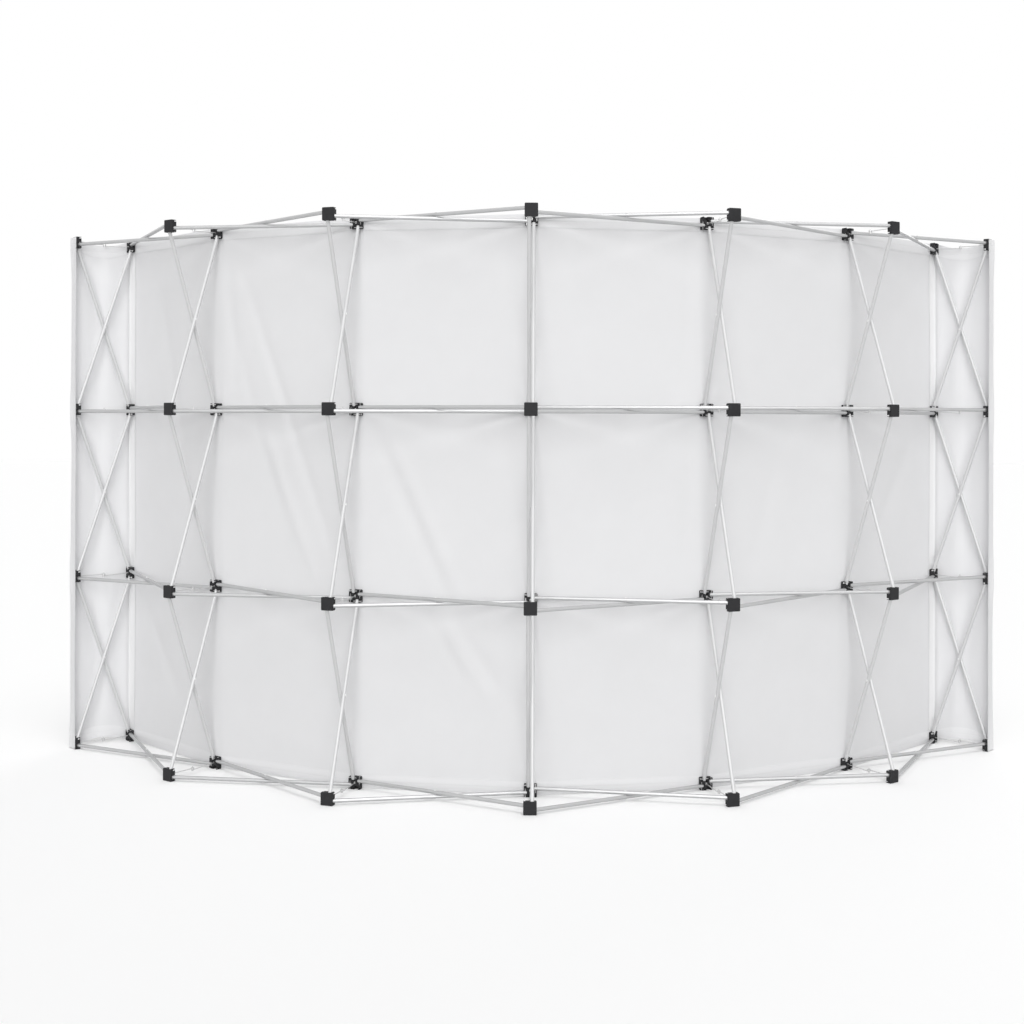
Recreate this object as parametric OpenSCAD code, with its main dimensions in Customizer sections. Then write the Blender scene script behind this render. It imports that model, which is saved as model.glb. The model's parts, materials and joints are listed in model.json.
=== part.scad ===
// Curved pop-up display wall: a scissor frame of round tubes between moulded
// corner hubs, with a stretched fabric cover over its front and both ends.
// X runs along the wall, Y from the open back to the fabric, Z is up.
// The origin lies on the floor, under the plate of the centre rear hub.
// In a column's own frame, X runs along the wall, Y inwards from the face of
// the rear hubs and Z up, so one hub serves at the back and, turned, in front.

/* [Frame] */
// Bays round the curve
bays = 6; // [3:1:6]
// Rows from the floor to the top
rows = 3; // [2:1:3]
// Length of every tube from end pin to end pin
tube_span = 734; // [640:1:800]
// Depth from the rear end pins to the front end pins
frame_depth = 236; // [200:1:280]
// Angle that each bay turns round the curve
bay_angle = 17.7; // [12:0.1:21]

/* [Tubes] */
// Outside diameter of the tubes
tube_d = 15; // [13:0.5:16]
// Wall of the tubes
tube_wall = 1.2; // [1:0.1:2]
// Length of tube past each end pin
tube_overhang = 6; // [5:0.5:7]
// Thickness of the washer between two crossing tubes
washer_t = 1; // [0.8:0.1:1.5]
// Diameter of the washer
washer_d = 8; // [7:0.5:10]

/* [Hubs] */
// Width and height of a hub
hub_size = 50; // [48:1:56]
// Radius of a hub's corners
hub_corner_r = 4; // [2:0.5:6]
// Thickness of a hub's outer plate
plate_t = 3; // [2.5:0.5:4]
// Hub past the pins, towards the other row of hubs
ear_cover = 7; // [6:0.5:9]
// Hub past the pins, sideways
ear_end = 5; // [4.5:0.5:6]
// Wall left past each end of an arm's hinge pin
hinge_wall = 1; // [0.8:0.1:1.5]

/* [Pins and rivets] */
// Diameter of the tube pins
pin_d = 6; // [5:0.5:7]
// Width of the snap groove over a tube pin
groove_w = 4.8; // [4:0.2:5.4]
// How far a tube pin's ends lie inside the hub
pin_inset = 0.3; // [0.2:0.1:0.6]
// Diameter of the rivets where tubes cross
rivet_d = 4; // [3:0.5:5]
// Diameter of a rivet's head
rivet_head_d = 9; // [7:0.5:11]
// Height of a rivet's head
rivet_head_t = 2; // [1.5:0.5:3]

/* [Lock arms] */
// Diameter of the arms' wire
wire_d = 4; // [3:0.5:5]
// Width of an arm's root in the hub
root_w = 8; // [7:0.5:9]
// Diameter of a hook arm's root
root_d = 8; // [7:0.5:9]
// Diameter of the arms' hinge pins
hinge_d = 3; // [2.5:0.5:3.5]
// Room under a hook arm's root
root_drop = 1; // [0.5:0.1:2]
// Height of the pocket over the hinge, where a hook arm lifts
lift_room = 14; // [13:0.5:16]
// Outside diameter of a hook arm's eye
eye_d = 15; // [13:0.5:18]
// Height of the eye past the wire, above and below
eye_lip = 0.5; // [0.3:0.1:1]
// Diameter of the peg that the eye drops over
peg_d = 5; // [4:0.5:6]
// Height of the peg above the eye, under its round tip
peg_rise = 4; // [3:0.5:6]
// Diameter of the bead that the eye rests on
bead_d = 9; // [8:0.5:11]
// Height of the bead
bead_h = 7; // [6:0.5:9]

/* [Cover] */
// Thickness of the fabric
fabric_t = 1.5; // [1:0.1:2]
// Fabric above the top hubs' centres and below the bottom hubs' centres
fabric_margin = 22; // [10:1:24]
// Width of an end flap's turned edge, over the plates of the end rear hubs
flap_return = 50; // [30:1:52]
// Depth of the curve in an end flap's top and bottom edges
flap_scallop = 25; // [5:1:40]
// Thickness of the hook-and-loop pads
pad_t = 2; // [1:0.5:3]
// Side of the square pads on the front hubs and the end rear hubs
pad_size = 40; // [20:1:44]
// Width of the pads on the sides of the end hubs
side_pad_w = 14; // [8:1:16]

/* [Fits] */
// Room beside a tube in its slot, each side
slot_clear = 0.5; // [0.3:0.1:0.8]
// Room round a tube's end as it swings
swing_clear = 0.4; // [0.3:0.1:0.8]
// Room round a pin or rivet in its hole
pin_clear = 0.05; // [0.02:0.01:0.1]
// Room beside an arm's root, each side
root_clear = 0.2; // [0.1:0.05:0.4]
// Room under the eye where it rests
rest_clear = 0.3; // [0.2:0.05:0.5]
// Room round the peg in the eye
peg_clear = 1; // [0.5:0.1:1.5]

/* [Hidden] */
$fn = 48;
// Extra length with which a cut runs past a surface
cut = 1;

// Crossing tubes lie this far above or below, left or right of the centre
side_offset = (tube_d + washer_t) / 2;
slot_w = tube_d + 2 * slot_clear;
// The pins sit where a tube's square end can swing clear of the plate
end_swing = sqrt(pow(tube_overhang, 2) + pow(tube_d / 2, 2));
pin_offset = hub_size / 2 - ear_end;
pin_depth = plate_t + end_swing + swing_clear;
slot_start = pin_offset - end_swing - swing_clear;
hub_depth = pin_depth + ear_cover;
pin_reach = hub_size / 2 - side_offset;

// Tubes of one length set the height of a row and both chords of a bay
pin_rise = sqrt(pow(tube_span, 2) - pow(frame_depth, 2));
row_h = pin_rise + 2 * pin_offset;
chord_step = frame_depth * sin(bay_angle / 2);
front_chord = sqrt(pow(chord_step, 2) + pow(pin_rise, 2)) - chord_step;
rear_chord = front_chord + 2 * chord_step;
rear_reach = tube_span * rear_chord / (rear_chord + front_chord);
column_lean = atan2(pin_rise, frame_depth);

// Radii of the curve, and its centre in front of the wall
rear_pin_r = (rear_chord / 2 + pin_offset * cos(bay_angle / 2)) / sin(bay_angle / 2);
front_pin_r = rear_pin_r - frame_depth;
rear_face_r = rear_pin_r + pin_depth;
face_depth = frame_depth + 2 * pin_depth;
centre_y = rear_face_r - plate_t / 2;

// Lock arms
mid_depth = face_depth / 2;
hinge_depth = hub_depth - root_d;
pocket_floor = -root_d / 2 - root_drop;
hinge_reach = slot_start - hinge_wall;
eye_bore = peg_d + 2 * peg_clear;
eye_t = wire_d + 2 * eye_lip;
bead_top = -eye_t / 2 - rest_clear;

// Cover
fabric_r = rear_face_r - face_depth - pad_t;
flap_x = hub_size / 2 + pad_t;
cover_low = hub_size / 2 - fabric_margin;
cover_top = level_z(rows) + fabric_margin;
flap_front = face_depth + pad_t + fabric_t;
edge_steps = 12;

function column_angle(i) = (i - bays / 2) * bay_angle;
function level_z(j) = hub_size / 2 + j * row_h;
// Point of the plan on column i, at a radius and a distance along the wall
function plan_point(i, r, x) =
  let (a = column_angle(i))
  [r * sin(a) + x * cos(a), centre_y - r * cos(a) + x * sin(a)];

// Frame of column i, with its origin in the rear hubs' face at floor level
module column(i)
  translate([0, centre_y, 0])
  rotate([0, 0, column_angle(i)])
  translate([0, -rear_face_r, 0])
  children();

module at_rear_hub(i, j)
  column(i)
  translate([0, 0, level_z(j)])
  children();

module at_front_hub(i, j)
  column(i)
  translate([0, face_depth, level_z(j)])
  rotate([0, 0, 180])
  children();

// A hub's four tube slots follow each other in quarter turns: 0 is its own
// right, 1 up, 2 left and 3 down
module at_slot(k)
  rotate([0, -90 * k, 0])
  children();

function rear_slots(i, j) = [i < bays, j < rows, i > 0, j > 0];
function front_slots(i, j) = [i > 0, j < rows, i < bays, j > 0];

module hub_outline() {
  square([hub_size, hub_size - 2 * hub_corner_r], center = true);
  square([hub_size - 2 * hub_corner_r, hub_size], center = true);
  for (x = [-1, 1])
    for (y = [-1, 1])
      translate([x, y] * (hub_size / 2 - hub_corner_r))
        circle(hub_corner_r);
}

// Slot for one tube, with the seat and the snap groove of its pin
module tube_slot() {
  translate([slot_start, plate_t, -side_offset - slot_w / 2])
    cube([hub_size, hub_depth, slot_w]);
  translate([pin_offset, pin_depth, -hub_size / 2 - cut])
    cylinder(d = pin_d + 2 * pin_clear, h = hub_size / 2 + cut - side_offset + pin_reach);
  translate([pin_offset - groove_w / 2, pin_depth, -hub_size / 2 - cut])
    cube([groove_w, hub_depth, hub_size / 2 + cut - side_offset + pin_reach]);
}

// Pocket in the middle of a hub for the root of a lock arm and its hinge pin
module arm_pocket() {
  translate([-root_w / 2 - root_clear, plate_t, pocket_floor])
    cube([root_w + 2 * root_clear, hub_depth, lift_room - pocket_floor]);
  translate([-hinge_reach, hinge_depth, 0])
    rotate([0, 90, 0])
    cylinder(d = hinge_d + 2 * pin_clear, h = 2 * hinge_reach);
}

module hub() {
  difference() {
    rotate([90, 0, 0])
      translate([0, 0, -hub_depth])
      linear_extrude(hub_depth)
      hub_outline();
    for (k = [0 : 3])
      at_slot(k)
        tube_slot();
    arm_pocket();
  }
}

module rear_hubs(j)
  color("#333335")
  for (i = [0 : bays])
    at_rear_hub(i, j)
      hub();

module front_hubs(j)
  color("#333335")
  for (i = [0 : bays])
    at_front_hub(i, j)
      hub();

// Tube from one end pin at the origin to the other along X; the pins and the
// rivet at cross_at run along Z
module scissor_tube(cross_at) {
  difference() {
    translate([-tube_overhang, 0, 0])
      rotate([0, 90, 0])
      cylinder(d = tube_d, h = tube_span + 2 * tube_overhang);
    translate([-tube_overhang - cut, 0, 0])
      rotate([0, 90, 0])
      cylinder(d = tube_d - 2 * tube_wall, h = tube_span + 2 * tube_overhang + 2 * cut);
    for (x = [0, tube_span])
      translate([x, 0, 0])
        cylinder(d = pin_d + 2 * pin_clear, h = tube_d + 2 * cut, center = true);
    translate([cross_at, 0, 0])
      cylinder(d = rivet_d + 2 * pin_clear, h = tube_d + 2 * cut, center = true);
  }
}

module lay_tube(p, q, z)
  translate([p.x, p.y, z])
  rotate([0, 0, atan2(q.y - p.y, q.x - p.x)])
  scissor_tube(rear_reach);

// Crossing pairs of level tubes between column i and the next one
module bay_tubes(i)
  color("#d7d9dc")
  for (j = [0 : rows]) {
    lay_tube(plan_point(i, rear_pin_r, pin_offset),
             plan_point(i + 1, front_pin_r, -pin_offset),
             level_z(j) - side_offset);
    lay_tube(plan_point(i + 1, rear_pin_r, -pin_offset),
             plan_point(i, front_pin_r, pin_offset),
             level_z(j) + side_offset);
  }

// Turns a tube into the upright plane of its column
module lean(angle)
  rotate([angle, 0, 0])
  rotate([0, 90, 0])
  rotate([0, 0, 90])
  children();

// Crossing pairs of upright tubes in column i
module column_tubes(i)
  color("#d7d9dc")
  column(i)
    for (j = [0 : rows - 1]) {
      translate([side_offset, pin_depth, level_z(j) + pin_offset])
        lean(column_lean)
        scissor_tube(tube_span / 2);
      translate([-side_offset, pin_depth + frame_depth, level_z(j) + pin_offset])
        lean(180 - column_lean)
        scissor_tube(tube_span / 2);
    }

module hub_pins(slots)
  for (k = [0 : 3])
    if (slots[k])
      at_slot(k)
        translate([pin_offset, pin_depth, -side_offset])
        cylinder(d = pin_d, h = 2 * (pin_reach - pin_inset), center = true);

module tube_pins()
  color("#e3e3e1")
  for (i = [0 : bays])
    for (j = [0 : rows]) {
      at_rear_hub(i, j)
        hub_pins(rear_slots(i, j));
      at_front_hub(i, j)
        hub_pins(front_slots(i, j));
    }

// Rivet along Z through two crossing tubes, with the washer between them
module rivet() {
  half = side_offset + tube_d / 2 + pin_clear;
  cylinder(d = rivet_d, h = 2 * half, center = true);
  cylinder(d = washer_d, h = washer_t - 2 * pin_clear, center = true);
  for (m = [0, 1])
    mirror([0, 0, m])
      translate([0, 0, half])
      cylinder(d1 = rivet_head_d, d2 = rivet_head_d - rivet_head_t, h = rivet_head_t);
}

module cross_rivets()
  color("#e3e3e1") {
    for (i = [0 : bays - 1])
      for (j = [0 : rows]) {
        p = plan_point(i, rear_pin_r, pin_offset);
        q = plan_point(i + 1, front_pin_r, -pin_offset);
        c = p + (q - p) * rear_reach / tube_span;
        translate([c.x, c.y, level_z(j)])
          rivet();
      }
    for (i = [0 : bays])
      for (j = [0 : rows - 1])
        column(i)
          translate([0, pin_depth + frame_depth / 2, level_z(j) + row_h / 2])
          rotate([0, 90, 0])
          rivet();
  }

module hinge_bore()
  translate([0, hinge_depth, 0])
  rotate([0, 90, 0])
  cylinder(d = hinge_d + 2 * pin_clear, h = root_w + 2 * cut, center = true);

// Rear arm: a round root that turns on its pin, a wire and an eye
module hook_arm(i, j)
  color("#c9cacc")
  at_rear_hub(i, j)
  difference() {
    union() {
      translate([0, hinge_depth, 0])
        rotate([0, 90, 0])
        cylinder(d = root_d, h = root_w, center = true);
      translate([0, hinge_depth, 0])
        rotate([-90, 0, 0])
        cylinder(d = wire_d, h = mid_depth - hinge_depth - (eye_d + eye_bore) / 4);
      translate([0, mid_depth, 0])
        cylinder(d = eye_d, h = eye_t, center = true);
    }
    hinge_bore();
    translate([0, mid_depth, 0])
      cylinder(d = eye_bore, h = eye_t + 2 * cut, center = true);
  }

// Front arm: a block that fills its pocket down to the plate and the floor, so
// that it can't turn, then a wire, a bead and an upright peg
module peg_arm() {
  wire_start = hinge_depth;
  drop = -bead_top + bead_h / 2;
  run = mid_depth - wire_start;
  difference() {
    union() {
      translate([-root_w / 2, plate_t, pocket_floor])
        cube([root_w, hinge_depth + root_d / 2 - plate_t, root_d / 2 - pocket_floor]);
      translate([0, wire_start, 0])
        rotate([-90 - atan2(drop, run), 0, 0])
        cylinder(d = wire_d, h = sqrt(pow(run, 2) + pow(drop, 2)));
      translate([0, mid_depth, bead_top - bead_h])
        cylinder(d = bead_d, h = bead_h);
      translate([0, mid_depth, bead_top - cut])
        cylinder(d = peg_d, h = cut + rest_clear + eye_t + peg_rise);
      translate([0, mid_depth, eye_t / 2 + peg_rise])
        sphere(d = peg_d);
    }
    hinge_bore();
  }
}

module peg_arms()
  color("#c9cacc")
  for (i = [0 : bays])
    for (j = [0 : rows])
      at_front_hub(i, j)
        peg_arm();

module hinge_pin()
  translate([0, hinge_depth, 0])
  rotate([0, 90, 0])
  cylinder(d = hinge_d, h = 2 * (hinge_reach - pin_inset), center = true);

module arm_hinge_pins()
  color("#b9babc")
  for (i = [0 : bays])
    for (j = [0 : rows]) {
      at_rear_hub(i, j)
        hinge_pin();
      at_front_hub(i, j)
        hinge_pin();
    }

// Pad on the outer side of an end hub: side is -1 on the left, 1 on the right
module side_pad(side)
  translate([side * (hub_size / 2 + pad_t / 2), (plate_t + hub_depth) / 2, 0])
  cube([pad_t, side_pad_w, pad_size], center = true);

// Square pad on a hub's plate
module face_pad()
  translate([-pad_size / 2, -pad_t, -pad_size / 2])
  cube([pad_size, pad_t, pad_size]);

module hook_loop_pads()
  color("#3a3a3c")
  for (j = [0 : rows]) {
    for (i = [0 : bays])
      at_front_hub(i, j)
        face_pad();
    for (side = [-1, 1]) {
      at_rear_hub(side < 0 ? 0 : bays, j) {
        face_pad();
        side_pad(side);
      }
      at_front_hub(side < 0 ? 0 : bays, j)
        side_pad(-side);
    }
  }

// Both ends of the fabric's flat stretch over column i; it reaches further
// over the end columns, to the flaps
function stretch(i, r, half) =
  [plan_point(i, r, i == 0 ? -flap_x : -half), plan_point(i, r, i == bays ? flap_x : half)];

// Front fabric: flat over each column of hubs and straight between them
module fabric_panel() {
  half = hub_size / 2;
  front_half = half - fabric_t * tan(bay_angle / 4);
  back = [for (i = [0 : bays]) each stretch(i, fabric_r, half)];
  front = [for (i = [0 : bays]) each stretch(i, fabric_r - fabric_t, front_half)];
  last = len(front) - 1;
  color("#e4e4e6")
    translate([0, 0, cover_low])
    linear_extrude(cover_top - cover_low)
    polygon(concat(back, [for (k = [0 : last]) front[last - k]]));
}

// Edge of an end flap, curved between the rear and the front hubs; way is -1
// where it sags from the top and 1 where it rises from the bottom
function flap_edge(z, way) =
  [for (s = [0 : edge_steps])
    let (t = s / edge_steps)
    [hub_depth + t * (face_depth - 2 * hub_depth), z + way * flap_scallop * 4 * t * (1 - t)]];

// Flap round the outer side of an end column, turned over its rear hubs' plates
module end_flap(side) {
  outer_x = flap_x + fabric_t;
  rear_y = -pad_t - fabric_t;
  outline = concat([[rear_y, cover_low]], flap_edge(cover_low, 1), [[flap_front, cover_low]],
                   [[flap_front, cover_top]],
                   [for (s = [0 : edge_steps]) flap_edge(cover_top, -1)[edge_steps - s]],
                   [[rear_y, cover_top]]);
  color("#e4e4e6")
    column(side < 0 ? 0 : bays) {
      translate([side < 0 ? -outer_x : flap_x, 0, 0])
        rotate([90, 0, 90])
        linear_extrude(fabric_t)
        polygon(outline);
      translate([side < 0 ? -outer_x : outer_x - flap_return, rear_y, cover_low])
        cube([flap_return, fabric_t, cover_top - cover_low]);
    }
}

for (j = [0 : rows]) {
  rear_hubs(j);
  front_hubs(j);
}
for (i = [0 : bays - 1])
  bay_tubes(i);
for (i = [0 : bays])
  column_tubes(i);
tube_pins();
cross_rivets();
peg_arms();
arm_hinge_pins();
for (i = [0 : bays])
  for (j = [0 : rows])
    hook_arm(i, j);
hook_loop_pads();
fabric_panel();
end_flap(-1);  // end_flap_left
end_flap(1);  // end_flap_right
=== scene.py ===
# %% [markdown]
# # A curved pop-up wall, seen from its open back
#
# The real thing is a scissor frame of aluminium tubes that snaps open between
# moulded corner hubs. A light stretch cover is pressed on to hook-and-loop
# pads on the front hubs and wraps round both ends. We look at it from behind,
# so the frame stands in front and the cloth closes the view.
#
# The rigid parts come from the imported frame, at their real size. This lesson
# lights them, finishes their surfaces and makes the cloth.

# %% Load the frame
import json
import math

import bmesh
import bpy
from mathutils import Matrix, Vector, noise


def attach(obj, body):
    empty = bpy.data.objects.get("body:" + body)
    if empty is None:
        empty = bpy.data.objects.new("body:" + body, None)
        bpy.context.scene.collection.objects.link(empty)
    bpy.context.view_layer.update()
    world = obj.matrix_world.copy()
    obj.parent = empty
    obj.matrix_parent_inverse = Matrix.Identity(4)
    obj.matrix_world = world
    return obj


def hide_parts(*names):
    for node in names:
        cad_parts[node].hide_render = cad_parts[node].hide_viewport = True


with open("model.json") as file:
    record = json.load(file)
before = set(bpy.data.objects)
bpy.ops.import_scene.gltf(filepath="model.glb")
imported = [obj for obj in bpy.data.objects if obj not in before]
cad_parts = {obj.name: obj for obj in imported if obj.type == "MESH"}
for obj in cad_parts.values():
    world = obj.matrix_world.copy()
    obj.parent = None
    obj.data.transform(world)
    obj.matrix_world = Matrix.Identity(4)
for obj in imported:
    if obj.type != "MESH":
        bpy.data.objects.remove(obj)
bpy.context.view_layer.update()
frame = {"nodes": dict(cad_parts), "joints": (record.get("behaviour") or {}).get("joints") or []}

# %% [markdown]
# ## Where the columns stand
#
# Each column of hubs has its own place and direction on the curve. Every hook
# arm turns on a hinge in a rear hub, so the hinges' points and axes give all
# columns and levels, and nothing has to be typed in twice. A column's own
# coordinates are u, along the wall, v, inwards from the face of the rear hubs,
# and the height z.

# %% Columns and levels
# Depths of the hinges and of the front hubs' plates, from the rear hubs' plates
HINGE_DEPTH = 0.012
FACE_DEPTH = 0.26201
# Half of a hub's width, and the thickness of the pads on it
HUB_HALF = 0.025
PAD = 0.002


class Column:
    """One upright row of hubs: its place in plan and its two directions."""

    def __init__(self, hinge, axis):
        self.u = Vector(axis).to_2d().normalized()
        self.v = Vector((-self.u.y, self.u.x))
        self.rear = Vector(hinge).to_2d() - self.v * HINGE_DEPTH

    def plan(self, u, v):
        return self.rear + self.u * u + self.v * v


column_of = {}
level_of = {}
for joint in frame["joints"]:
    i, j = (int(word) for word in joint["name"].split("_")[-2:])
    column_of[i] = Column(joint["pos_m"], joint["axis"])
    level_of[j] = joint["pos_m"][2]
columns = [column_of[i] for i in sorted(column_of)]
levels = [level_of[j] for j in sorted(level_of)]
print("columns:", len(columns), "levels at", [round(z, 3) for z in levels])

# %% [markdown]
# ## Camera
#
# The photograph was taken from behind the wall at about shoulder height, and
# then cropped, so the point that the lens looked at isn't the middle of the
# picture. The camera looks level and the shift moves the picture instead, which
# keeps the uprights parallel. It is rolled by a hair, because the wall in the
# photograph leans a little.

# %% Camera
# The picture's width, the focal length and the point looked at, in pixels
PICTURE = 1024
FOCAL_PX = 1382.8
AXIS_PX = (538.3, 417.6)
# Width of the sensor in millimetres, the place of the lens and its roll in degrees
SENSOR = 36.0
EYE = (0.0273, -5.0888, 1.4639)
ROLL = -0.14

lens = bpy.data.cameras.new("camera")
lens.sensor_width = SENSOR
lens.lens = SENSOR * FOCAL_PX / PICTURE
lens.shift_x = (PICTURE / 2 - AXIS_PX[0]) / PICTURE
lens.shift_y = (AXIS_PX[1] - PICTURE / 2) / PICTURE
camera = bpy.data.objects.new("camera", lens)
camera.location = EYE
camera.rotation_euler = (math.radians(90), math.radians(ROLL), 0)
bpy.context.scene.collection.objects.link(camera)
bpy.context.scene.camera = camera
print("lens", round(lens.lens, 2), "mm, shift", round(lens.shift_x, 4), round(lens.shift_y, 4))

# %% [markdown]
# ## Writing shaders as sums
#
# A material is a graph of nodes, and long graphs are hard to read. This small
# class wraps a socket, so that sums on it add Math nodes, and one method makes
# any other node.

# %% Shader helper
def grey(level):
    return (level, level, level, 1)


class Wire:
    """A node's output that can be used in a sum."""

    def __init__(self, shade, socket):
        self.shade = shade
        self.socket = socket

    def _math(self, operation, first, second):
        return self.shade.node("ShaderNodeMath", {0: first, 1: second}, operation=operation)

    def __add__(self, other):
        return self._math("ADD", self, other)

    def __sub__(self, other):
        return self._math("SUBTRACT", self, other)

    def __rsub__(self, other):
        return self._math("SUBTRACT", other, self)

    def __mul__(self, other):
        return self._math("MULTIPLY", self, other)

    __radd__ = __add__
    __rmul__ = __mul__


class Shade:
    """A material's or the world's node tree."""

    def __init__(self, owner):
        owner.use_nodes = True
        self.tree = owner.node_tree
        self.tree.nodes.clear()

    def node(self, kind, sockets=None, output=0, stops=None, **settings):
        made = self.tree.nodes.new(kind)
        for name, value in settings.items():
            setattr(made, name, value)
        if stops:
            ramp = made.color_ramp
            while len(ramp.elements) < len(stops):
                ramp.elements.new(0.5)
            for element, (place, level) in zip(ramp.elements, stops):
                element.position = place
                element.color = grey(level)
        for name, value in (sockets or {}).items():
            if isinstance(value, Wire):
                self.tree.links.new(value.socket, made.inputs[name])
            else:
                made.inputs[name].default_value = value
        return Wire(self, made.outputs[output])

    def noise(self, where, scale, detail=2.0, roughness=0.5):
        sockets = {"Vector": where, "Scale": scale, "Detail": detail, "Roughness": roughness}
        return self.node("ShaderNodeTexNoise", sockets)

    def ramp(self, value, stops):
        return self.node("ShaderNodeValToRGB", {0: value}, stops=stops)

    def mix(self, amount, first, second):
        """Mixes two colours, which are the Mix node's sockets 6 and 7."""
        return self.node("ShaderNodeMix", {0: amount, 6: first, 7: second}, output=2, data_type="RGBA")

    def tint(self, amount, dark, light):
        return self.mix(amount, (*dark, 1), (*light, 1))

    def sine(self, value):
        return self.node("ShaderNodeMath", {0: value}, operation="SINE")

    def bump(self, height, distance):
        return self.node("ShaderNodeBump", {"Height": height, "Distance": distance, "Strength": 1.0})

    def surface(self, shader, kind="ShaderNodeOutputMaterial"):
        output = self.tree.nodes.new(kind)
        self.tree.links.new(shader.socket, output.inputs["Surface"])


def material(name):
    made = bpy.data.materials.new(name)
    shade = Shade(made)
    where = shade.node("ShaderNodeTexCoord", output="Object")
    return made, shade, where


# %% [markdown]
# ## Floor, backdrop and light
#
# The picture is a studio shot on white. The white comes from what the camera
# ray sees, not from stronger lamps: the world and the floor show it a plain
# white, and a duller one to the light that bounces. Nearly half of the light on
# the cloth is one large soft source behind the camera, a sun with a wide angle,
# which gives each tube its bright core and casts hardly any shadow. A higher one
# draws the shadow on the floor, a low one lights the display side, and the world
# gives the rest.

# %% Floor, world and suns
# The world's light from all round, and how much more comes from overhead
FILL = 0.51
OVERHEAD = 0.15
# Half of the floor's width, and how pale it is to bounced light and to the eye
FLOOR_HALF = 40
FLOOR_BOUNCE = 0.45
FLOOR_SEEN = 0.95


def seen_directly(shade):
    """1 for rays from the camera, from gloss and from glass, 0 for other rays."""
    names = ("Is Camera Ray", "Is Glossy Ray", "Is Transmission Ray")
    straight, glossy, through = (shade.node("ShaderNodeLightPath", output=name) for name in names)
    return shade.node("ShaderNodeMath", {0: straight + glossy, 1: through}, operation="ADD", use_clamp=True)


def make_world():
    world = bpy.data.worlds.new("studio")
    bpy.context.scene.world = world
    shade = Shade(world)
    direction = shade.node("ShaderNodeTexCoord", output="Generated")
    height = shade.node("ShaderNodeSeparateXYZ", {0: direction}, output=2)
    upwards = shade.node("ShaderNodeMath", {0: height, 1: 0.0}, operation="MAXIMUM")
    fill = shade.node("ShaderNodeBackground", {"Color": grey(1), "Strength": FILL + upwards * OVERHEAD})
    white = shade.node("ShaderNodeBackground", {"Color": grey(1), "Strength": 1.0})
    both = shade.node("ShaderNodeMixShader", {0: seen_directly(shade), 1: fill, 2: white})
    shade.surface(both, "ShaderNodeOutputWorld")


def make_floor():
    shape = bmesh.new()
    bmesh.ops.create_grid(shape, x_segments=1, y_segments=1, size=FLOOR_HALF)
    mesh = bpy.data.meshes.new("floor")
    shape.to_mesh(mesh)
    shape.free()
    floor = bpy.data.objects.new("floor", mesh)
    bpy.context.scene.collection.objects.link(floor)
    made, shade, _ = material("floor_white")
    dull = shade.node("ShaderNodeBsdfDiffuse", {"Color": grey(FLOOR_BOUNCE)})
    pale = shade.node("ShaderNodeBsdfDiffuse", {"Color": grey(FLOOR_SEEN)})
    shade.surface(shade.node("ShaderNodeMixShader", {0: seen_directly(shade), 1: dull, 2: pale}))
    mesh.materials.append(made)


def make_sun(name, energy, wide, height, side):
    """A soft source of a width, height and side in degrees, seen from the object.

    The side is 0 behind the camera and 180 in front of the display side.
    """
    light = bpy.data.lights.new(name, "SUN")
    light.energy = energy
    light.angle = math.radians(wide)
    sun = bpy.data.objects.new(name, light)
    sun.rotation_euler = (math.radians(90 - height), 0, math.radians(side))
    bpy.context.scene.collection.objects.link(sun)


make_world()
make_floor()
make_sun("front_softbox", energy=1.31, wide=42, height=16, side=0)
make_sun("high_softbox", energy=0.90, wide=36, height=65, side=9)
make_sun("rear_softbox", energy=0.62, wide=40, height=18, side=160)
bpy.context.scene.view_settings.view_transform = "Standard"
print("lights:", [light.name for light in bpy.data.lights])

# %% [markdown]
# ## Tubes
#
# The tubes are thin-walled aluminium with a satin anodised skin. It is neither
# mirror nor paint: the cloudy oxide scatters part of the light. The level tubes
# and the upright ones get two copies of the same aluminium, one shaded and one
# lit. The level tubes' copy is darker and mirrors more of the studio. This is
# painted shade, which gives a grey body with one bright line. The upright ones'
# copy is duller and whiter. This is painted light, which stands in for the
# bright core that their highlight misses. Two noises dress both: a coarse one
# for smudges in the roughness, a fine one for the drawn grain.

# %% Aluminium
def aluminium(name, dark, light, metal):
    made, shade, where = material(name)
    smudge = shade.noise(where, scale=14, detail=4)
    grain = shade.noise(where, scale=1500, detail=1)
    sockets = {
        "Base Color": shade.tint(smudge, dark, light),
        "Metallic": metal,
        "Roughness": 0.30 + smudge * 0.10,
        "Specular IOR Level": 0.25,
        "Normal": shade.bump(grain, distance=0.00004),
    }
    shade.surface(shade.node("ShaderNodeBsdfPrincipled", sockets))
    return made


def finish_nodes(words, made):
    """Gives the material to every node whose name starts with one of the words."""
    dressed = [node for name, node in frame["nodes"].items() if name.startswith(words)]
    for node in dressed:
        node.data.materials.clear()
        node.data.materials.append(made)
    print(made.name, "on", len(dressed), "nodes")
    return dressed


# Lit and shaded copies of one aluminium: painted shade on the level tubes, painted light on the upright
# ones.
level_shaded_copy = aluminium("bright_aluminium", (0.50, 0.503, 0.507), (0.57, 0.573, 0.577), metal=0.75)
upright_lit_copy = aluminium("milky_aluminium", (0.66, 0.663, 0.667), (0.73, 0.733, 0.737), metal=0.15)
finish_nodes(("bay_tubes",), level_shaded_copy)
finish_nodes(("column_tubes",), upright_lit_copy)

# %% [markdown]
# ## Hubs
#
# The hubs are injection-moulded, near-black, with a fine eroded grain. A real
# moulding has no knife edges, and its rounded edges catch a thin line of
# light. A Weld and a planar Decimate turn the frame's loose triangles into
# whole faces, and a Bevel then rounds only the true edges.

# %% Moulded plastic
# Width of the rounding, in two facets, and the distance at which points join
EDGE_ROUND = 0.0006
EDGE_FACETS = 2
SAME_POINT = 0.00001
# Bends in degrees: up to the first a face is flat, over the second an edge shows
FLAT_BEND = 1
SHARP_BEND = 35


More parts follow.
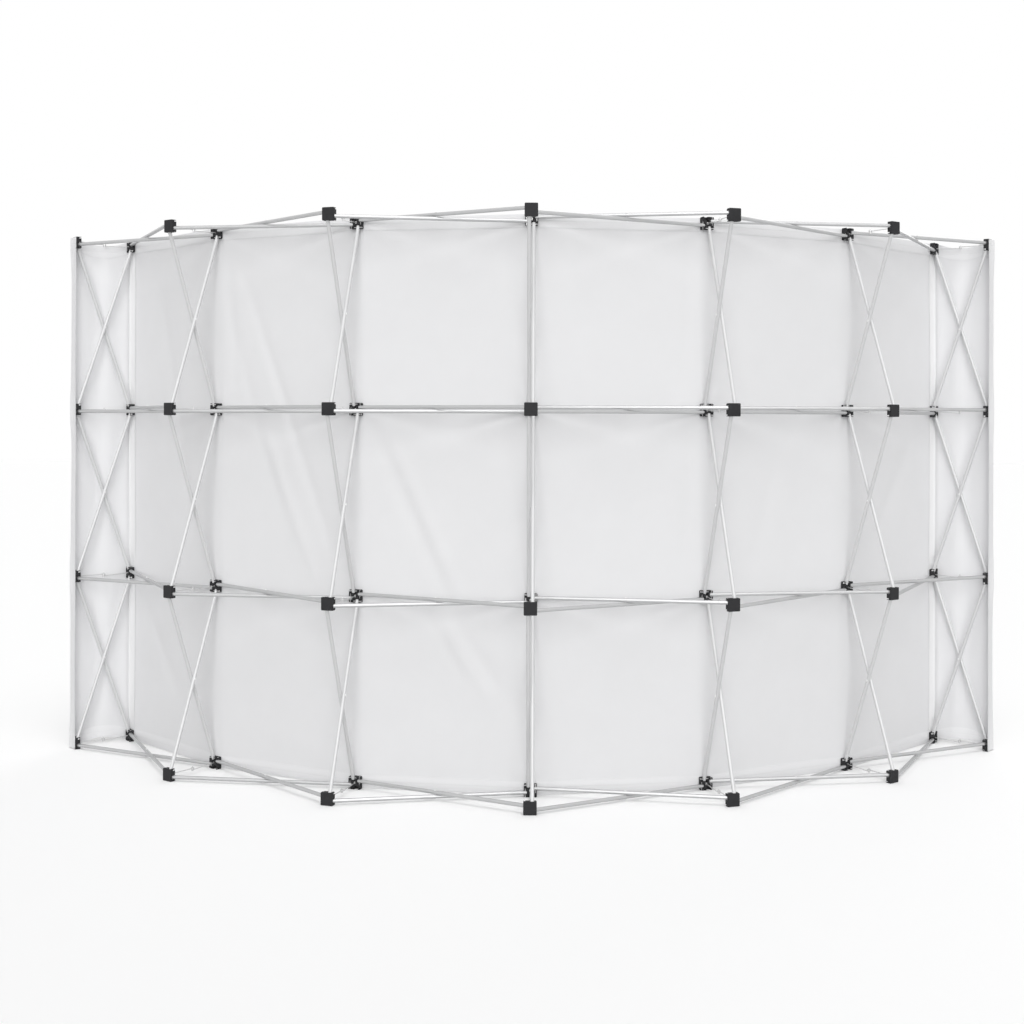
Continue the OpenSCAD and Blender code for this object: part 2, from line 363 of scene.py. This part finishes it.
def plastic():
    made, shade, where = material("moulded_plastic")
    wear = shade.noise(where, scale=60, detail=5, roughness=0.6)
    grain = shade.noise(where, scale=2600, detail=2)
    sockets = {
        "Base Color": shade.tint(wear, (0.026, 0.026, 0.028), (0.043, 0.043, 0.045)),
        "Roughness": 0.50 + wear * 0.2,
        "Specular IOR Level": 0.12,
        "Normal": shade.bump(grain, distance=0.00012),
    }
    shade.surface(shade.node("ShaderNodeBsdfPrincipled", sockets))
    return made


def round_edges(node):
    weld = node.modifiers.new("weld", "WELD")
    weld.merge_threshold = SAME_POINT
    flat = node.modifiers.new("flat", "DECIMATE")
    flat.decimate_type = "DISSOLVE"
    flat.angle_limit = math.radians(FLAT_BEND)
    bevel = node.modifiers.new("bevel", "BEVEL")
    bevel.width = EDGE_ROUND
    bevel.segments = EDGE_FACETS
    bevel.limit_method = "ANGLE"
    bevel.angle_limit = math.radians(SHARP_BEND)


for hub in finish_nodes(("rear_hubs", "front_hubs"), plastic()):
    round_edges(hub)

# %% [markdown]
# ## Pins, rivets and lock arms
#
# The pins and rivets are zinc-plated steel, bright and slightly mottled. The
# hinge pins and the wire of the lock arms are darker steel of the same finish.

# %% Plated steel
def plated_steel(name, dark, light, rough):
    made, shade, where = material(name)
    spangle = shade.node("ShaderNodeTexVoronoi", {"Vector": where, "Scale": 420.0}, feature="SMOOTH_F1")
    scratch = shade.noise(where, scale=900, detail=3)
    sockets = {
        "Base Color": shade.tint(spangle, dark, light),
        "Metallic": 0.8,
        "Roughness": rough + scratch * 0.12,
        "Normal": shade.bump(scratch, distance=0.00005),
    }
    shade.surface(shade.node("ShaderNodeBsdfPrincipled", sockets))
    return made


zinc = plated_steel("zinc_steel", (0.80,) * 3, (0.93,) * 3, rough=0.3)
hinge = plated_steel("pin_steel", (0.5,) * 3, (0.66,) * 3, rough=0.25)
wire = plated_steel("wire_steel", (0.6,) * 3, (0.78,) * 3, rough=0.3)
finish_nodes(("tube_pins", "cross_rivets"), zinc)
finish_nodes(("arm_hinge_pins",), hinge)
finish_nodes(("hook_arm", "peg_arms"), wire)

# %% [markdown]
# ## Hook-and-loop pads
#
# Each front hub carries a square of napped loop, and the end rear hubs do too.
# Close up it is a felt of tiny loops, so the bump is fine and deep and a sheen
# lifts its edges.

# %% Pads
def velour():
    made, shade, where = material("loop_velour")
    nap = shade.noise(where, scale=1800, detail=3)
    sockets = {
        "Base Color": shade.tint(nap, (0.03, 0.03, 0.033), (0.075, 0.075, 0.08)),
        "Roughness": 0.95,
        "Sheen Weight": 0.5,
        "Normal": shade.bump(nap, distance=0.0004),
    }
    shade.surface(shade.node("ShaderNodeBsdfPrincipled", sockets))
    return made


finish_nodes(("hook_loop_pads",), velour())

# %% [markdown]
# ## The cover's line in plan
#
# The cover is one long sheet. From above it starts on the plates of the first
# rear hubs, turns round their outer side, runs along the left end, turns round
# the first front hub, crosses seven hubs and comes back the same way on the
# right. Between the hubs it is pulled straight. The sharp line below is
# measured by its length, so that every later fold and stitch has one
# coordinate.

# %% Path of the cover
# Thickness of the cloth, and from a pad to its middle, with the hems between
CLOTH = 0.0012
LAYERS = 0.0023
# Lines of the flaps, the panel and the plates, and where the cover's edges lie
FLAP_U = HUB_HALF + PAD + LAYERS
PANEL_V = FACE_DEPTH + PAD + LAYERS
PLATE_V = -PAD - LAYERS
EDGE_U = 0.0215

first, last = columns[0], columns[-1]
corners = [first.plan(EDGE_U, PLATE_V), first.plan(-FLAP_U, PLATE_V), first.plan(-FLAP_U, PANEL_V)]
for column, following in zip(columns, columns[1:]):
    corners += [column.plan(HUB_HALF, PANEL_V), following.plan(-HUB_HALF, PANEL_V)]
corners += [last.plan(FLAP_U, PANEL_V), last.plan(FLAP_U, PLATE_V), last.plan(-EDGE_U, PLATE_V)]
marks = [0.0]
for corner, following in zip(corners, corners[1:]):
    marks.append(marks[-1] + (following - corner).length)
LENGTH = marks[-1]
RETURN = marks[1]
LEFT_CORNER, RIGHT_CORNER = marks[2], marks[-3]


def bay_mark(bay, share):
    """Length along the cover to a share of the way across a bay."""
    start, end = marks[3 + 2 * bay], marks[4 + 2 * bay]
    return start + (end - start) * share


def sharp_line(p):
    """Point of the plan at the length p, running straight on past the ends."""
    k = 0
    while k < len(marks) - 2 and p > marks[k + 1]:
        k += 1
    share = (p - marks[k]) / (marks[k + 1] - marks[k])
    return corners[k] + (corners[k + 1] - corners[k]) * share


print("cover:", round(LENGTH, 3), "m long, corners at", round(LEFT_CORNER, 3), round(RIGHT_CORNER, 3))

# %% [markdown]
# ## How tight the turns are
#
# At a hub the cloth is pressed round the pads and turns sharply. Half way
# between two levels nothing holds it out, so it cuts the corner. Averaging the
# sharp line over a short stretch rounds it, and the stretch grows away from
# the hubs.

# %% Rounded line
# Stretch averaged at a hub and between hubs, and how far up a hub still holds
TIGHT = 0.003
SLACK = 0.016
HELD = 0.10
# Points of the average, in stretches, and a step along the line for its slope
TAPS = (-1.5, -1.0, -0.5, 0.0, 0.5, 1.0, 1.5)
WEIGHTS = [math.exp(-0.5 * tap * tap) for tap in TAPS]
STEP = 0.002


def near_level(z):
    """1 at a level of hubs, falling to 0 between two levels."""
    nearest = min(abs(z - level) for level in levels)
    return math.exp(-((nearest / HELD) ** 2))


def rounded(p, spread):
    total = Vector((0, 0))
    for tap, weight in zip(TAPS, WEIGHTS):
        total += sharp_line(p + tap * spread) * weight
    return total / sum(WEIGHTS)


def cover_point(p, z):
    """Place and outward direction of the undisturbed cover."""
    spread = TIGHT + (SLACK - TIGHT) * (1 - near_level(z))
    along = rounded(p + STEP, spread) - rounded(p - STEP, spread)
    outward = Vector((-along.y, along.x)).normalized()
    return rounded(p, spread), outward


# %% [markdown]
# ## Folds
#
# A stretched sheet shows where its load runs: shallow drag lines lead from a
# hub down to the next one. Each fold here is a line on the sheet with a width
# and a height, and it fades out at both ends.

# %% Drag lines
# Distance from a fold's line, in widths, at which it is gone
FADED = 3
# Exponent of its rise along the line, which makes its ends blunter than a sine's
BLUNT = 0.8


def drag(bay, start, end, width, height):
    """A fold across one bay, from (share of the bay, z) to (share of the bay, z)."""
    return (bay_mark(bay, start[0]), start[1], bay_mark(bay, end[0]), end[1], width, height)


folds = [
    drag(1, (0.10, 2.16), (0.97, 0.74), 0.024, 0.0058),
    drag(1, (0.20, 1.94), (0.58, 1.30), 0.014, -0.0022),
    drag(1, (0.26, 1.52), (0.78, 0.74), 0.022, -0.0050),
    drag(1, (0.00, 2.02), (0.50, 1.00), 0.022, 0.0030),
    drag(1, (0.03, 2.24), (0.12, 1.50), 0.020, 0.0030),
    drag(2, (0.02, 1.48), (0.60, 0.66), 0.026, 0.0044),
    drag(2, (0.12, 1.46), (0.66, 0.68), 0.020, -0.0050),
    drag(2, (0.40, 0.70), (0.64, 0.42), 0.020, 0.0028),
    drag(2, (0.55, 0.70), (0.97, 0.30), 0.024, 0.0036),
    drag(2, (0.47, 0.70), (0.82, 0.32), 0.022, -0.0034),
    drag(0, (0.30, 2.10), (0.80, 0.85), 0.034, 0.0046),
    drag(0, (0.05, 0.72), (0.70, 0.15), 0.040, 0.0030),
    drag(3, (0.94, 2.20), (0.90, 1.52), 0.030, 0.0034),
    drag(3, (0.96, 1.46), (0.91, 0.80), 0.030, 0.0034),
    drag(4, (0.06, 2.18), (0.30, 1.55), 0.030, 0.0030),
    drag(4, (0.55, 1.40), (0.30, 0.80), 0.040, 0.0026),
    drag(5, (0.85, 1.45), (0.20, 0.85), 0.040, 0.0028),
]


def fold_height(fold, p, z):
    """How far a fold lifts the sheet at the length p and the height z."""
    p0, z0, p1, z1, width, height = fold
    line = Vector((p1 - p0, z1 - z0))
    here = Vector((p - p0, z - z0))
    share = here.dot(line) / line.length_squared
    if not 0 < share < 1:
        return 0.0
    off = abs(here.x * line.y - here.y * line.x) / line.length
    if off > FADED * width:
        return 0.0
    return height * math.sin(math.pi * share) ** BLUNT * math.exp(-((off / width) ** 2))


print("folds:", len(folds), "up to", max(abs(fold[-1]) for fold in folds), "m high")

# %% [markdown]
# ## Slack
#
# The cloth also breathes by a few millimetres between the hubs, which a smooth
# noise gives, and each end flap has one upright fold down its middle. The turn
# round the rear hubs isn't drawn tight, so it stands off their corners.

# %% Slack between the hubs
# Each swell: waves a metre along and up, a place in the noise, and its height
SWELLS = ((1.7, 1.3, 4.1, 0.0060), (5.0, 3.2, 9.7, 0.0016))
# Shares of the swells and of the flaps' fold that are gone at a level of hubs
SWELL_HELD = 0.8
FLAP_HELD = 0.55
# Height and width of the flaps' fold and of the loose turn
FLAP_FOLD = 0.020
FLAP_FOLD_WIDTH = 0.042
LOOSE = 0.007
LOOSE_WIDTH = 0.014


def breathe(p, z):
    """Slow swell of the sheet between its pads."""
    height = sum(tall * noise.noise(Vector((p * along, z * up, at))) for along, up, at, tall in SWELLS)
    return height * (1 - SWELL_HELD * near_level(z))


def flap_fold(p, z):
    """Upright fold down the middle of each end flap: out, then in, from the rear."""
    middle = 0.5 * (RETURN + LEFT_CORNER)
    off = (min(p, LENGTH - p) - middle) / FLAP_FOLD_WIDTH
    if abs(off) > FADED:
        return 0.0
    return -FLAP_FOLD * off * math.exp(-off * off) * (1 - FLAP_HELD * near_level(z))


def loose_turn(p):
    off = min(abs(p - RETURN), abs(LENGTH - RETURN - p)) / LOOSE_WIDTH
    return LOOSE * math.exp(-off * off)


# %% [markdown]
# ## Where the cloth is pressed
#
# Where the cloth is pressed on a pad it lies flat, whatever it does elsewhere.
# Round the pad it puckers a little, in a ring of small creases that run
# outwards.

# %% Pressed and puckered places
# Depth at which the cloth is pressed on the side of an end rear hub
SIDE_PAD_V = 0.012
# Lengths along the cover at the middles of the front hubs and of the rear pads
hub_marks = [0.5 * (marks[2 * i + 2] + marks[2 * i + 3]) for i in range(len(columns))]
plate_marks = [EDGE_U, RETURN - PLATE_V + SIDE_PAD_V]
plate_marks += [LENGTH - mark for mark in plate_marks]
# Creases in a ring, the ring's radius and width, and how far and high they reach
CREASES = 7
RING = 0.06
RING_WIDTH = 0.045
CREASE_REACH = 0.2
CREASE_HEIGHT = 0.0011
# How much each hub's ring is turned, in radians for a metre along the cover
RING_TURN = 3
# Half of the square that is pressed flat, and the width over which it lets go
PRESSED = 0.028
LETS_GO = 0.022


def pucker(p, z):
    """Small creases that run outwards from the nearest pad."""
    total = 0.0
    for mark in hub_marks:
        for level in levels:
            reach = math.hypot(p - mark, z - level)
            if reach < CREASE_REACH:
                ring = math.exp(-(((reach - RING) / RING_WIDTH) ** 2))
                angle = math.atan2(z - level, p - mark)
                total += CREASE_HEIGHT * ring * math.cos(CREASES * angle + RING_TURN * mark)
    return total


def on_pad(p, z):
    """1 where the cloth is pressed on a pad, 0 well away from it."""
    for mark in hub_marks + plate_marks:
        for level in levels:
            reach = max(abs(p - mark), abs(z - level))
            if reach < PRESSED + LETS_GO:
                return 1 - max(0.0, (reach - PRESSED) / LETS_GO)
    return 0.0


def swell(p, z):
    """How far the sheet stands outwards from its undisturbed place."""
    total = breathe(p, z) + pucker(p, z) + flap_fold(p, z)
    total += sum(fold_height(fold, p, z) for fold in folds)
    return total * (1 - on_pad(p, z)) + loose_turn(p)


print("hubs at", [round(mark, 3) for mark in hub_marks], "m along the cover")

# %% [markdown]
# ## Top and bottom edges
#
# Over the front the edges run straight from hub to hub, with the least sag.
# Along the ends they are cut in a hollow curve between the front and the rear
# hub, which keeps them from fluttering.

# %% Edge lines
# Cloth past the middles of the lowest and of the highest hubs
MARGIN = 0.022
# Depth of the hollow at the ends and of the sag over the front
SCALLOP = 0.025
EDGE_SAG = 0.002
# Depth of a hub, over which the edges at the ends still run straight
HUB_DEEP = 0.020


def arch(height, share):
    """A low arch over the shares from 0 to 1."""
    return height * 4 * share * (1 - share) if 0 < share < 1 else 0.0


def edge_dip(p):
    """How far the top edge lies below its highest line at the length p."""
    if LEFT_CORNER <= p <= RIGHT_CORNER:
        bays = [(bay_mark(bay, 0), bay_mark(bay, 1)) for bay in range(len(columns) - 1)]
        return sum(arch(EDGE_SAG, (p - start) / (end - start)) for start, end in bays)
    depth = min(p, LENGTH - p) - RETURN + PLATE_V
    return arch(SCALLOP, (depth - HUB_DEEP) / (FACE_DEPTH - 2 * HUB_DEEP))


def edge_heights(p):
    dip = edge_dip(p)
    return levels[0] - MARGIN + dip, levels[-1] + MARGIN - dip


print("edges at", [round(z, 3) for z in edge_heights(hub_marks[0])], "m by the first front hub")

# %% [markdown]
# ## Making a strip of the cover
#
# The panel, the hems and the seam tapes are all strips of the same surface.
# A grid from bmesh gives the faces, and each of its points is moved on to the
# cover, a little before or behind it. The grid is closer at the turns, where a
# wide face would cut the corner. The outline's edges are sharp, or the shading
# would roll over there. The UV map holds the length and the height in metres,
# so weave and stitches keep their size.

# %% Strip builder
# Widest face, and the places of the points round a turn of the cover
WIDE_FACE = 0.018
TURN_STEPS = (-0.012, -0.007, -0.0035, 0.0, 0.0035, 0.007, 0.012)


def stations(start, end):
    """Lengths at which a strip has a column of points, closer at the turns."""
    close = {p for mark in marks[1:-1] for p in (mark + step for step in TURN_STEPS)}
    points = [start] + sorted(p for p in close if start < p < end) + [end]
    full = []
    for point, following in zip(points, points[1:]):
        count = max(1, math.ceil((following - point) / WIDE_FACE))
        full += [point + (following - point) * k / count for k in range(count)]
    return full + [end]


def strip_mesh(name, places, across, face_rows, lift):
    """The faces of a strip, with each point moved on to the cover."""
    shape = bmesh.new()
    bmesh.ops.create_grid(shape, x_segments=len(places) - 1, y_segments=face_rows, size=0.5)
    uv = shape.loops.layers.uv.new("cloth")
    flat = {}
    for vertex in shape.verts:
        p = places[round((vertex.co.x + 0.5) * (len(places) - 1))]
        low, high = across(p)
        z = low + (high - low) * (vertex.co.y + 0.5)
        flat[vertex] = (p, z)
    for face in shape.faces:
        for loop in face.loops:
            loop[uv].uv = flat[loop.vert]
    for vertex, (p, z) in flat.items():
        point, outward = cover_point(p, z)
        place = point + outward * (swell(p, z) + lift(p, z))
        vertex.co = (place.x, place.y, z)
    for edge in shape.edges:
        edge.smooth = not edge.is_boundary
    mesh = bpy.data.meshes.new(name)
    shape.normal_update()
    shape.to_mesh(mesh)
    shape.free()
    mesh.polygons.foreach_set("use_smooth", [True] * len(mesh.polygons))
    return mesh


def strip(name, p_range, across, face_rows, lift, thickness):
    """A strip of cloth between two lengths.

    across(p) gives its lowest and highest z, and lift(p, z) its distance
    outwards from the cover's own middle.
    """
    mesh = strip_mesh(name, stations(*p_range), across, face_rows, lift)
    piece = bpy.data.objects.new(name, mesh)
    bpy.context.scene.collection.objects.link(piece)
    wall = piece.modifiers.new("thickness", "SOLIDIFY")
    wall.thickness = thickness
    wall.offset = 0
    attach(piece, "frame")
    print(name, len(mesh.polygons), "faces")
    return piece


# %% [markdown]
# ## Cloth
#
# The cover is white warp-knit polyester. Close up it has fine ribs and loops,
# and from a step away it is a soft matt white, a little mottled where it is
# stretched thinner. The end flaps are a little whiter. This is painted light,
# for the light that shines through them from outside. The stitching is drawn
# with the UV map: rows of short dimples along the hems, darkened in colour as
# painted shade.

# %% Cloth material
# Width and height of a loop of the knit
KNIT = 0.0011
LOOP = KNIT * 1.3
# Length and half width of a stitch, and its lines' distances from the edges
STITCH = 0.0035
STITCH_HALF = 0.0016
STITCH_LINES = (0.027, 0.051)
TURN = 2 * math.pi
# Levels of the thinner places, and of the flaps' painted light, against the plain panel
THIN_DARKER = 0.93
FLAP_PAINTED_LIGHT = 1.06


def scaled(colour, factor):
    return tuple(level * factor for level in colour)


def stitch_row(shade, across, along, line):
    """Dimples on one line of stitches: 1 in a stitch, 0 elsewhere."""
    off = shade.node("ShaderNodeMath", {0: across - line}, operation="ABSOLUTE")
    thin = shade.ramp(off * (1 / STITCH_HALF), [(0.35, 1.0), (1.0, 0.0)])
    dash = shade.ramp(shade.sine(along * (TURN / STITCH)) * 0.5 + 0.5, [(0.25, 0.35), (0.5, 1.0)])
    return thin * dash


def stitching(shade, across, along):
    """All lines of stitches, on the upper hem and on the lower one."""
    low, top = levels[0] - MARGIN, levels[-1] + MARGIN
    lines = [top - line for line in STITCH_LINES] + [low + line for line in STITCH_LINES]
    return sum(stitch_row(shade, across, along, line) for line in lines)


def cloth(name, white):
    """The knit in one white, with painted light on the end flaps and painted shade in the stitches."""
    made, shade, where = material(name)
    uv = shade.node("ShaderNodeUVMap", uv_map="cloth")
    along = shade.node("ShaderNodeSeparateXYZ", {0: uv}, output=0)
    height = shade.node("ShaderNodeSeparateXYZ", {0: uv}, output=1)
    ribs = shade.sine(along * (TURN / KNIT)) * 0.5 + 0.5
    loops = shade.sine(height * (TURN / LOOP)) * 0.5 + 0.5
    knit = ribs * 0.6 + loops * 0.4
    mottle = shade.noise(where, scale=9, detail=5, roughness=0.6)
    yarn = shade.noise(where, scale=700, detail=2)
    stitches = stitching(shade, height, along)
    # The stitches darken the colour in their dimples: painted shade, on top of their bump.
    whiteness = mottle * 0.55 + yarn * 0.3 + knit * 0.15 - stitches * 0.5
    dark = scaled(white, THIN_DARKER)
    panel = shade.tint(whiteness, dark, white)
    # The flaps' whiter knit is painted light, for the light that shines through them.
    flap_painted_light = shade.tint(whiteness, scaled(dark, FLAP_PAINTED_LIGHT), scaled(white, FLAP_PAINTED_LIGHT))
    left = shade.node("ShaderNodeMath", {0: along, 1: LEFT_CORNER}, operation="LESS_THAN")
    right = shade.node("ShaderNodeMath", {0: along, 1: RIGHT_CORNER}, operation="GREATER_THAN")
    sockets = {
        "Base Color": shade.mix(left + right, panel, flap_painted_light),
        "Roughness": 0.86,
        "Sheen Weight": 0.12,
        "Normal": shade.bump(knit * 0.5 + yarn * 0.5 - stitches * 2.0, distance=0.00022),
    }
    shade.surface(shade.node("ShaderNodeBsdfPrincipled", sockets))
    return made


# %% [markdown]
# ## The cover itself
#
# One sheet with faces of less than two centimetres is fine enough for the drag
# lines. It stands for the plain panel and both end flaps of the frame.

# %% Cover
PANEL_ROWS = 130


def no_lift(p, z):
    return 0.0


cover = strip("cover", (0, LENGTH), edge_heights, PANEL_ROWS, no_lift, CLOTH)
cover.data.materials.append(cloth("cover_knit", (0.84, 0.84, 0.85)))
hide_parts("fabric_panel", "end_flap_left", "end_flap_right")

# %% [markdown]
# ## Hems and seam tapes
#
# The raw edges are turned over to the back and stitched twice, so the hems are
# one more layer of the same cloth, and brighter for it. At each corner, where
# the end flaps are sewn to the panel, a tape covers the seam. Between the hubs
# it stands off a little at the corner, as a seam's allowance does, and catches
# more light than the sheet round it. A narrower tape edges each free end.

# %% Hems and tapes
# Height of the hems, widths of the tapes, and the thickness of both
HEM = 0.052
HEM_ROWS = 4
SEAM_TAPE = 0.050
EDGE_TAPE = 0.020
THIN_CLOTH = 0.0008
# Where the hems and the tapes lie, against the middle of the sheet
HEM_BEHIND = -0.0012
TAPE_BEHIND = 1.7 * HEM_BEHIND
# How far a seam tape stands off, past the part that a hub holds, and how soon
STAND = 0.0095
SEAM_HELD = 0.045
SEAM_FREED = 0.05
# Room between a tape and the corner or the edge beside it
CORNER_ROOM = 0.002
EDGE_ROOM = 0.0004


def hem_low(p):
    low, _ = edge_heights(p)
    return low, low + HEM


def hem_high(p):
    _, high = edge_heights(p)
    return high - HEM, high


def hem_lift(p, z):
    return HEM_BEHIND


def tape_lift(p, z):
    return TAPE_BEHIND


def seam_lift(p, z):
    """On the sheet at the hubs; between them the tape's corner side stands off."""
    from_hub = min(abs(z - level) for level in levels) - SEAM_HELD
    free = min(1.0, max(0.0, from_hub / SEAM_FREED))
    depth = min(p - LEFT_CORNER, RIGHT_CORNER - p) / SEAM_TAPE
    return TAPE_BEHIND - STAND * free * free * (3 - 2 * free) * max(0.0, 1 - depth)


hems = [
    strip("hem_top", (0, LENGTH), hem_high, HEM_ROWS, hem_lift, THIN_CLOTH),
    strip("hem_bottom", (0, LENGTH), hem_low, HEM_ROWS, hem_lift, THIN_CLOTH),
]
left_seam = LEFT_CORNER + CORNER_ROOM
right_seam = RIGHT_CORNER - CORNER_ROOM
tape_places = {
    "tape_left_edge": (EDGE_ROOM, EDGE_TAPE, tape_lift),
    "tape_left_corner": (left_seam, left_seam + SEAM_TAPE, seam_lift),
    "tape_right_corner": (right_seam - SEAM_TAPE, right_seam, seam_lift),
    "tape_right_edge": (LENGTH - EDGE_TAPE, LENGTH - EDGE_ROOM, tape_lift),
}
tapes = [strip(name, (start, end), edge_heights, PANEL_ROWS, lift, THIN_CLOTH)
         for name, (start, end, lift) in tape_places.items()]
hem_white = cloth("hem_knit", (0.88, 0.88, 0.89))
tape_white = cloth("tape_knit", (0.91, 0.91, 0.915))
for piece in hems:
    piece.data.materials.append(hem_white)
for piece in tapes:
    piece.data.materials.append(tape_white)

# %% [markdown]
# ## Cut size
#
# Laid flat, the cover is as long as its line in plan and as high as its edges
# lie apart at the hubs. Its area is a little less, because a low arch, of two
# thirds of its box, is cut out of the top and bottom of each flap.

# %% Cut size
low, high = edge_heights(hub_marks[len(columns) // 2])
panel_area = (RIGHT_CORNER - LEFT_CORNER) * (high - low)
flap_area = 2 * LEFT_CORNER * (high - low) - 4 * SCALLOP * 2 / 3 * (FACE_DEPTH - 2 * HUB_DEEP)
high - low
panel_area + flap_area
print("cut size:", round(LENGTH, 3), "by", round(high - low, 3), "m")
